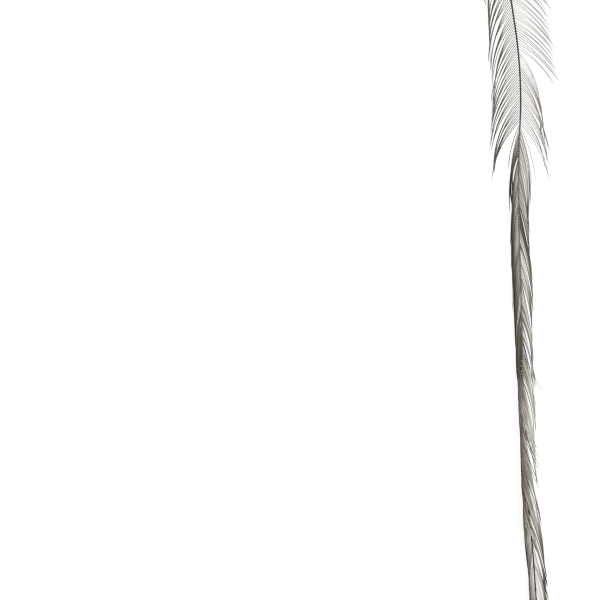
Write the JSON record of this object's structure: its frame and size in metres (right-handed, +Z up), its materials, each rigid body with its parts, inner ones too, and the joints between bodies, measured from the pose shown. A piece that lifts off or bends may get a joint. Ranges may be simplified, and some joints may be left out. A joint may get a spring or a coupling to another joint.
{
  "type": "dry fly hackle feather",
  "caption": "Slender grey rooster hackle lying flat: bare quill, thin shaft, upper barbs standing out, lower barbs folded along it; wound on a hook as a collar.",
  "frame": {"origin": "on the surface that the feather lies on, under the middle of its box", "axes": "+Z up, +Y along the feather towards the butt of the quill, +X across the vane"},
  "size_m": [0.0133, 0.16, 0.0018],
  "materials": {
    "plumage": "satin keratin barbs, grey with a brown tint"
  },
  "bodies": {
    "root": {"feather": "plumage"}
  },
  "joints": []
}
